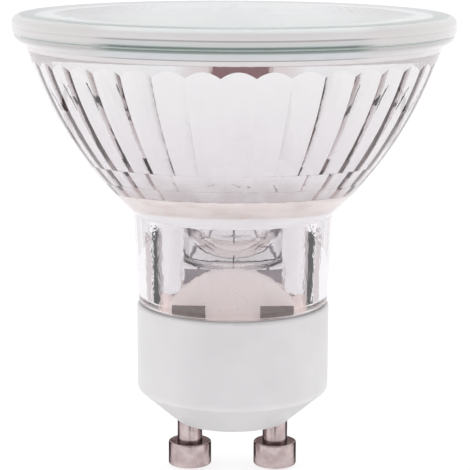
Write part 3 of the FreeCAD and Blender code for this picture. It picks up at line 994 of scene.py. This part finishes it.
@dataclass
class Capsule:
    """Quartz capsule: bulb with its hollow, pressed flat below, and the coiled filament inside."""

    pinch_half_width: float = 6.0
    pinch_half_depth: float = 1.7
    pinch_corner: float = 1.2
    pinch_low: float = 7.6
    pinch_high: float = 18.4
    pinch_bevel: float = 0.3
    pinch_plain: float = 1.5
    pinch_rows: int = 8
    shoulder_rows: int = 14
    flat_margin: float = 0.4
    flat_columns: int = 29
    even_columns: int = 96
    bulb_radius: float = 5.7
    bulb_low: float = 19.9
    bulb_high: float = 31.7
    bulb_rows: int = 22
    tip_radius: float = 1.1
    tip_neck: tuple[float, float] = (0.8, 0.5)
    tip_high: float = 38.8
    tip_end: tuple[tuple[float, float], ...] = ((0.62, 0.35), (0.35, 0.06), (0.0, 0.0))
    wall: float = 1.2
    cavity_low: float = 20.2
    cavity_rows: int = 18
    filament_half: float = 2.0
    filament_low: float = 24.8
    filament_high: float = 33.4
    filament_bend: float = 1.95
    coil_radius: float = 0.44
    wire_radius: float = 0.06
    wire_sides: int = 6
    coil_pitch: float = 0.2
    coil_steps: int = 12
    glass: Finish = ClearGlass("fused_quartz", (0.9, 0.9, 6.0), ior=1.46)
    # Drawn wire is dark and dull, with lines along it.
    tungsten: Finish = Metal("drawn_tungsten", "#6E6B6D", "#565355", 0.35, (0.05, 0.05, 0.4), 0.002)
    # Rolled foil and wire are pale grey, with fine lines up the strip.
    molybdenum: Finish = Metal("rolled_molybdenum", "#CAC5CC", "#B4AFB7", 0.42, (0.08, 0.6, 3.0), 0.004)
    # A thin drawn nickel alloy is brighter than tungsten.
    fuse: Finish = Metal("fuse_wire_alloy", "#B3ADA8", "#8F8984", 0.3, (0.05, 0.05, 0.5), 0.002)

    def directions(self) -> np.ndarray:
        """Azimuths of the columns, evenly spaced, and more at even steps along each flat of the pinch.

        Returns:
            Angles in radians, in rising order.
        """
        even = np.linspace(-np.pi, np.pi, self.even_columns, endpoint=False)
        along = np.linspace(-1, 1, self.flat_columns + 2)[1:-1] * (self.pinch_half_width - self.flat_margin)
        front = np.arctan2(-self.pinch_half_depth, along)
        back = np.arctan2(self.pinch_half_depth, along)
        return np.unique(np.round(np.concatenate([even, front, back]), 6))

    def pinch_radius(self, angle: np.ndarray) -> np.ndarray:
        """Distance from the axis to the pinch's rounded rectangle in each direction.

        A ray (cos a, sin a) meets the end at half width / |cos a|, the flat at half depth / |sin a|, and
        between them the corner circle about q, at u·q + sqrt((u·q)² - |q|² + r²).

        Args:
            angle: directions in radians.

        Returns:
            Distances in millimetres.
        """
        across, along = np.abs(np.cos(angle)) + 1e-9, np.abs(np.sin(angle)) + 1e-9
        to_end = self.pinch_half_width / across
        to_flat = self.pinch_half_depth / along
        corner = self.pinch_corner
        centre = np.array([self.pinch_half_width - corner, self.pinch_half_depth - corner])
        dot = across * centre[0] + along * centre[1]
        to_corner = dot + np.sqrt(np.maximum(dot ** 2 - centre @ centre + corner ** 2, 0))
        on_end = to_end * along <= centre[1]
        on_flat = to_flat * across <= centre[0]
        return np.where(on_end, to_end, np.where(on_flat, to_flat, to_corner))

    def envelope(self) -> bpy.types.Object:
        """Builds the quartz: its outside goes from the pinch to the bulb by a smooth share of the height.

        The share is 3s² - 2s³ for s from 0 at the top of the pinch to 1 at the foot of the bulb.

        Returns:
            The quartz envelope.
        """
        angle = self.directions()
        heights = np.concatenate([
            [self.pinch_low, self.pinch_low + self.pinch_bevel],
            np.linspace(self.pinch_low + self.pinch_plain, self.pinch_high, self.pinch_rows),
            np.linspace(self.pinch_high, self.bulb_low, self.shoulder_rows)[1:]])[:, None]
        share = np.clip((heights - self.pinch_high) / (self.bulb_low - self.pinch_high), 0, 1)
        share = share * share * (3 - 2 * share)
        shrink = np.where(heights <= self.pinch_low, self.pinch_bevel, 0.0)
        radius = self.pinch_radius(angle) * (1 - share) + self.bulb_radius * share - shrink
        lower = polar(radius, angle, heights)
        floor = np.zeros_like(lower[:1])
        floor[..., 2] = self.pinch_low
        turn = np.linspace(0, np.arccos(self.tip_radius / self.bulb_radius), self.bulb_rows)
        bulb = self.bulb_radius
        dome = np.stack([bulb * np.cos(turn), self.bulb_high + bulb * np.sin(turn)], axis=-1)
        neck_radius, neck_rise = self.tip_neck
        upper = np.concatenate([dome, [(neck_radius, dome[-1, 1] + neck_rise)],
                                [(end, self.tip_high - depth) for end, depth in self.tip_end]])
        inner = self.bulb_radius - self.wall
        turn = np.linspace(0, np.pi / 2, self.cavity_rows)
        hollow = np.concatenate([
            np.stack([inner * np.sin(turn), self.cavity_low + inner - inner * np.cos(turn)], axis=-1),
            np.stack([inner * np.cos(turn), self.bulb_high + inner * np.sin(turn)], axis=-1)])
        body = np.concatenate([floor, lower, turned(upper, angle)])
        sheets = [Sheet(body, self.glass), Sheet(turned(hollow, angle), self.glass, True)]
        return skin("quartz_envelope", sheets, sharp=40.0)

    def filament(self) -> bpy.types.Object:
        """Builds the coil: a helix about a path that goes up, over the bow and down.

        The path has the length s, and the wire lies at the coil's radius in the direction cos(w s) n + sin(w
        s) y, where n is the path's normal in its plane and w is one turn per pitch.

        Returns:
            The filament.
        """
        straight = self.filament_high - self.filament_bend - self.filament_low
        arc = self.filament_bend * np.pi / 2
        across = 2 * (self.filament_half - self.filament_bend)
        ends = np.cumsum([straight, arc, across, arc, straight])
        s = np.linspace(0, ends[-1], int(ends[-1] / self.coil_pitch * self.coil_steps))
        first = np.clip(s - ends[0], 0, arc) / self.filament_bend
        second = np.clip(s - ends[2], 0, arc) / self.filament_bend
        heading = np.pi / 2 - first - second
        step = np.gradient(s)
        x = -self.filament_half + np.concatenate([[0], np.cumsum(np.cos(heading) * step)[:-1]])
        z = self.filament_low + np.concatenate([[0], np.cumsum(np.sin(heading) * step)[:-1]])
        path = np.stack([x - (x[0] + x[-1]) / 2, 0 * x, z], axis=-1)
        normal = np.stack([-np.sin(heading), 0 * x, np.cos(heading)], axis=-1)
        side = np.array([0.0, 1.0, 0.0])
        wind = 2 * np.pi * s[:, None] / self.coil_pitch
        wire = path + self.coil_radius * (np.cos(wind) * normal + np.sin(wind) * side)
        tangent = np.gradient(wire, axis=0)
        tangent /= np.linalg.norm(tangent, axis=1)[:, None]
        radial = (wire - path) / self.coil_radius
        cross = np.cross(tangent, radial)
        angle = np.linspace(0, 2 * np.pi, self.wire_sides, endpoint=False)[None, :, None]
        tube = wire[:, None, :] + self.wire_radius * (np.cos(angle) * radial[:, None, :]
                                                      + np.sin(angle) * cross[:, None, :])
        caps = [np.repeat(wire[i][None, None, :], self.wire_sides, axis=1) for i in (0, -1)]
        return skin("coiled_filament", [Sheet(np.concatenate([caps[0], tube, caps[1]]), self.tungsten, True)],
                    sharp=70.0)

    def build(self) -> None:
        """Builds the new pieces and dresses foils, leads, hook and fuse wire."""
        stand_for(self.envelope(), "capsule_envelope")
        stand_for(self.filament(), "filament")
        for side in SIDES:
            for piece in ("foil", "inner_lead", "outer_lead"):
                dress_node(f"{piece}_{side}", self.molybdenum)
        dress_node("filament_hook", self.tungsten)
        dress_node("fuse_wire", self.fuse)


@dataclass
class Base:
    """Ceramic cap with its two headed pins, the cement inside it and the clip that the cement holds."""

    cement_level: float = 12.3
    bore_radius: float = 8.5
    spigot_radius: float = 10.1
    spigot_low: float = 12.75
    rebate_radius: float = 10.25
    rebate_low: float = 12.6
    rim_high: float = 13.85
    well_radius: float = 8.7
    well_low: float = 3.2
    heap_half_length: float = 8.6
    heap_half_width: float = 4.7
    heap_height: float = 7.0
    heap_cap: float = 6.25
    pinch_half: float = 1.7
    heap_power: float = 0.72
    creep: float = 0.35
    side_creep: float = 2.4
    creep_share: float = 0.06
    lumps: tuple[tuple[float, float, int], ...] = ((0.10, 2.2, 3), (0.04, 0.9, 5))
    lumps_at_edge: float = 0.3
    bond: float = 0.02
    columns: int = 192
    rings: int = 90
    steatite: Finish = FiredCeramic("fired_steatite")
    potting: Finish = PottingCement("potting_cement")
    # Bright plate over turned brass, with lines round the pin. Its dark edge tint paints dark reflections
    # along its edges seen at a slant.
    nickel: Finish = Metal("nickel_plated_brass", "#CFC0BE", "#B5A3A3", 0.22, (2.5, 2.5, 0.1), 0.004,
                           roughness_spread=0.12, edge_tint="#2A2425")
    # Metal that melted and froze is dull and pitted.
    weld: Finish = Metal("weld_bead_metal", "#8D8684", "#6B6462", 0.5, (0.3, 0.3, 0.3), 0.03)
    # Rolled strip, cut by a tool, is a dull mid grey with lines along the strip.
    spring: Finish = Metal("stamped_spring_steel", "#A09A97", "#857F7C", 0.45, (0.15, 3.0, 3.0), 0.006)

    def heap(self, x: np.ndarray, y: np.ndarray) -> np.ndarray:
        """Height of the cement over its level.

        The heap is a dome, height · (1 - (x / a)² - (y / b)²) to a power, and level across the pinch. A lip
        creeps up the bore, higher at the ends of the pinch, and lumps are a millimetre or two wide.

        Args:
            x: place along the pinch in millimetres.
            y: place across the pinch in millimetres.

        Returns:
            Heights in millimetres.
        """
        across = np.maximum(np.abs(y), self.pinch_half)
        inside = 1 - (x / self.heap_half_length) ** 2 - (across / self.heap_half_width) ** 2
        mound = np.minimum(self.heap_height * np.maximum(inside, 0) ** self.heap_power, self.heap_cap)
        edge = np.hypot(x, y) / self.bore_radius
        rise = self.creep + self.side_creep * (x / self.bore_radius) ** 4
        lumps = sum(height * ripple(x, y, length, seed) for height, length, seed in self.lumps)
        return (np.maximum(mound, rise * np.exp((edge - 1) / self.creep_share))
                + lumps * np.clip(mound, self.lumps_at_edge, 1.0))

    def cement(self) -> bpy.types.Object:
        """Builds the cement: a turned fill whose top inside the bore is the heap.

        It reaches into the glass by the bond, so that it shows through the wall without an air gap, as it
        does where it has wetted the glass.

        Returns:
            The cement.
        """
        bond = self.bond
        profile = np.array([(0.0, self.well_low + bond), (self.well_radius - bond, self.well_low + bond),
                            (self.well_radius - bond, self.rebate_low + bond),
                            (self.rebate_radius - bond, self.rebate_low + bond),
                            (self.rebate_radius - bond, self.rim_high),
                            (self.spigot_radius - bond, self.rim_high),
                            (self.spigot_radius - bond, self.spigot_low + bond),
                            (self.bore_radius + bond, self.spigot_low + bond)])
        radii = np.linspace(self.bore_radius + bond, 0.0, self.rings)
        top = turned(np.stack([radii, 0 * radii], axis=-1), self.columns)
        top[..., 2] = self.cement_level + self.heap(top[..., 0], top[..., 1])
        top[-1, :, 2] = top[-1, :, 2].mean()
        fill = np.concatenate([turned(profile, self.columns), top])
        return skin("cement_heap", [Sheet(fill, self.potting)], sharp=50.0)

    def build(self) -> None:
        """Builds the cement and dresses cap, pins, beads and clip."""
        dress_node("ceramic_base", self.steatite)
        dress_node("capsule_clip", self.spring)
        for side in SIDES:
            dress_node(f"contact_pin_{side}", self.nickel)
            dress_node(f"weld_bead_{side}", self.weld)
        stand_for(self.cement(), "cement")


@dataclass
class Studio:
    """Pale floor, camera, and soft light with darker places that draw the edges of glass and metal."""

    floor_radii: tuple[float, ...] = (4000.0, 900.0, 300.0, 100.0, 40.0, 0.0)
    floor_gap: float = 0.02
    floor_columns: int = 96
    camera_distance: float = 205.89
    camera_height: float = 60.80
    camera_pitch: float = 10.766
    camera_roll: float = 0.264
    camera_near: float = 5.0
    sensor_width: float = 36.0
    focal_pixels: float = 1816.2
    picture_pixels: float = 470.0
    centre_pixel: float = 233.29
    dark_azimuth: float = 3.8
    strength: float = 1.05
    card_thickness: float = 0.05
    card_columns: int = 9
    card_near: float = 60.0
    card_far: float = 94.0
    card_high: float = 16.5
    card_low: float = -2.5
    card_spans: tuple[tuple[float, float], ...] = ((111.0, 132.0), (134.0, 150.0))
    bore_radius: float = 8.6
    pin_place: float = 5.0
    pin_card_low: float = -5.9
    pin_card_high: float = -0.9
    pin_card_reach: tuple[float, float] = (1.0, 3.2)
    pin_card_front: float = 16.0
    pin_card_front_high: float = -2.8
    pin_card_half: float = 2.8
    bounces: int = 32
    # Light from the camera's side round to the back: low down, and then above the change.
    low_light: Stops = ((0.000, "#845B5F"), (0.085, "#845B5F"), (0.105, "#E7DADB"), (0.160, "#EDE5E6"),
                        (0.220, "#FBFCFF"), (0.450, "#FFFFFF"), (0.750, "#FFFFFF"), (1.000, "#E6E6E8"))
    high_light: Stops = ((0.000, "#C6C4C7"), (0.200, "#D6D5D9"), (0.400, "#FFFFFF"), (0.750, "#FFFFFF"),
                         (1.000, "#EAEAEC"))
    change_low: float = 0.14
    change_high: float = 0.30
    black_card: Finish = CardStock("black_card", "#1F1D1F", "#171517")
    pale_card: Finish = CardStock("pale_card", "#D7CFCF", "#D2CACA")
    floor: Finish = StudioFloor("opal_light_table")

    def build_floor(self) -> None:
        """Lays a round floor under the tips of the pins."""
        level = float(CAD_BOUNDS[0][2]) / MM - self.floor_gap
        profile = np.array([(radius, level) for radius in self.floor_radii])
        skin("paper_floor", [Sheet(turned(profile, self.floor_columns), self.floor)])

    def stand_card(self, name: str, edges: np.ndarray, finish: Finish) -> None:
        """Makes a thin card that only reflections and refractions show.

        Args:
            name: name of the card.
            edges: two rows of points in millimetres, the lower and the upper edge of its face.
            finish: its stock.
        """
        across = np.cross(edges[0, -1] - edges[0, 0], edges[1, 0] - edges[0, 0])
        back = edges[:, ::-1] - self.card_thickness * across / np.linalg.norm(across)
        card = skin(name, [Sheet(np.concatenate([edges, back], axis=1), finish)])
        card.visible_camera = card.visible_diffuse = card.visible_shadow = False

    def upright(self, start: Sequence[float], end: Sequence[float], high: float) -> np.ndarray:
        """Lower and upper edge of an upright card between two places, x and y, and up to a height."""
        return np.array([[(*start, height), (*end, height)] for height in (self.pin_card_low, high)])

    def build_cards(self) -> None:
        """Stands cards beside the lamp, which clear round walls and bright pins show as dark lines.

        Light that grazes the bore on one side leaves the neck along a line that passes the axis at the bore's
        radius b, so a card that is to be seen in the direction a stands at the azimuth a - asin(b / r). The
        side cards, a black and a pale one, slope, so that the bowl looks along them and shows next to nothing
        of them. The small ones stand between and beside the pins and in front of each.
        """
        stocks = (self.black_card, self.pale_card)
        for side, word in zip((-1, 1), SIDES):
            for number, ((low, high), stock) in enumerate(zip(self.card_spans, stocks)):
                rows = []
                for radius, height in ((self.card_far, self.card_low), (self.card_near, self.card_high)):
                    azimuth = np.radians(np.linspace(low, high, self.card_columns))
                    azimuth -= math.asin(self.bore_radius / radius)
                    rows.append(np.stack([side * radius * np.sin(azimuth), -radius * np.cos(azimuth),
                                          np.full(len(azimuth), height)], axis=-1))
                self.stand_card(f"studio_card_{number}_{word}", np.stack(rows), stock)
            ends = [(side * self.pin_place + reach, -self.pin_card_front)
                    for reach in (-self.pin_card_half, self.pin_card_half)]
            self.stand_card(f"studio_card_front_{word}", self.upright(*ends, self.pin_card_front_high),
                            self.black_card)
        for place in (-2 * self.pin_place, 0.0, 2 * self.pin_place):
            ends = [(place, reach) for reach in self.pin_card_reach]
            self.stand_card(f"studio_card_pin_{place:.0f}", self.upright(*ends, self.pin_card_high),
                            self.black_card)

    def build_light(self) -> None:
        """Sets the light that comes from each direction.

        The azimuth a is counted from the camera's side, |atan2(x, -y)| / 180 degrees, and the elevation e is
        z of the unit direction. A ramp over a gives soft boxes on both sides, and one over e fades the dark
        band in front to the even light above.
        """
        world = bpy.data.worlds.new("studio_light")
        bpy.context.scene.world = world
        world.use_nodes = True
        tree = world.node_tree
        tree.nodes.clear()
        turn = add_node(tree, "Mapping", {
            "Vector": add_node(tree, "TexCoord").outputs["Generated"],
            "Rotation": (0, 0, math.radians(-self.dark_azimuth))})
        axes = add_node(tree, "SeparateXYZ", {"Vector": turn}).outputs
        towards = add_node(tree, "Math", {0: axes["Y"], 1: -1.0}, operation="MULTIPLY")
        angle = add_node(tree, "Math", {0: axes["X"], 1: towards}, operation="ARCTAN2")
        size = add_node(tree, "Math", {0: angle}, operation="ABSOLUTE")
        share = add_node(tree, "MapRange", {"Value": size, "From Max": math.pi})
        low = add_node(tree, "ValToRGB", {"Fac": share}, self.low_light)
        high = add_node(tree, "ValToRGB", {"Fac": share}, self.high_light)
        level = add_node(tree, "MapRange",
                         {"Value": axes["Z"], "From Min": self.change_low, "From Max": self.change_high})
        mixed = add_node(tree, "Mix", {SHARE: level, FIRST: low, SECOND: high}, data_type="RGBA")
        light = add_node(tree, "Background", {"Color": mixed, "Strength": self.strength})
        add_node(tree, "OutputWorld", {"Surface": light})

    def build_camera(self) -> None:
        """Places the camera where one camera fitted to the photograph stands."""
        lens = bpy.data.cameras.new("studio_camera")
        lens.sensor_width = self.sensor_width
        lens.lens = self.focal_pixels * self.sensor_width / self.picture_pixels
        lens.shift_x = (self.picture_pixels / 2 - self.centre_pixel) / self.picture_pixels
        lens.clip_start = self.camera_near * MM
        camera = bpy.data.objects.new("studio_camera", lens)
        bpy.context.scene.collection.objects.link(camera)
        place = Vector((0.0, -self.camera_distance * MM, self.camera_height * MM))
        tilt = Matrix.Rotation(math.radians(90.0 - self.camera_pitch), 4, "X")
        roll = Matrix.Rotation(math.radians(self.camera_roll), 4, "Z")
        camera.matrix_world = Matrix.Translation(place) @ tilt @ roll
        bpy.context.scene.camera = camera

    def build(self) -> None:
        """Builds the studio, lets light pass many glass walls, and keeps colours as they are."""
        self.build_floor()
        self.build_cards()
        self.build_light()
        self.build_camera()
        paths = bpy.context.scene.cycles
        paths.max_bounces = self.bounces
        paths.glossy_bounces = self.bounces
        paths.transmission_bounces = self.bounces
        view = bpy.context.scene.view_settings
        view.view_transform = "Standard"
        view.look = "None"


def main() -> None:
    """Builds the lamp from the front to the pins, then the studio."""
    logging.basicConfig(level=logging.INFO, format="%(name)s: %(message)s")
    Front().build()
    Reflector().build()
    Capsule().build()
    Base().build()
    Studio().build()


if __name__ == "__main__":
    main()
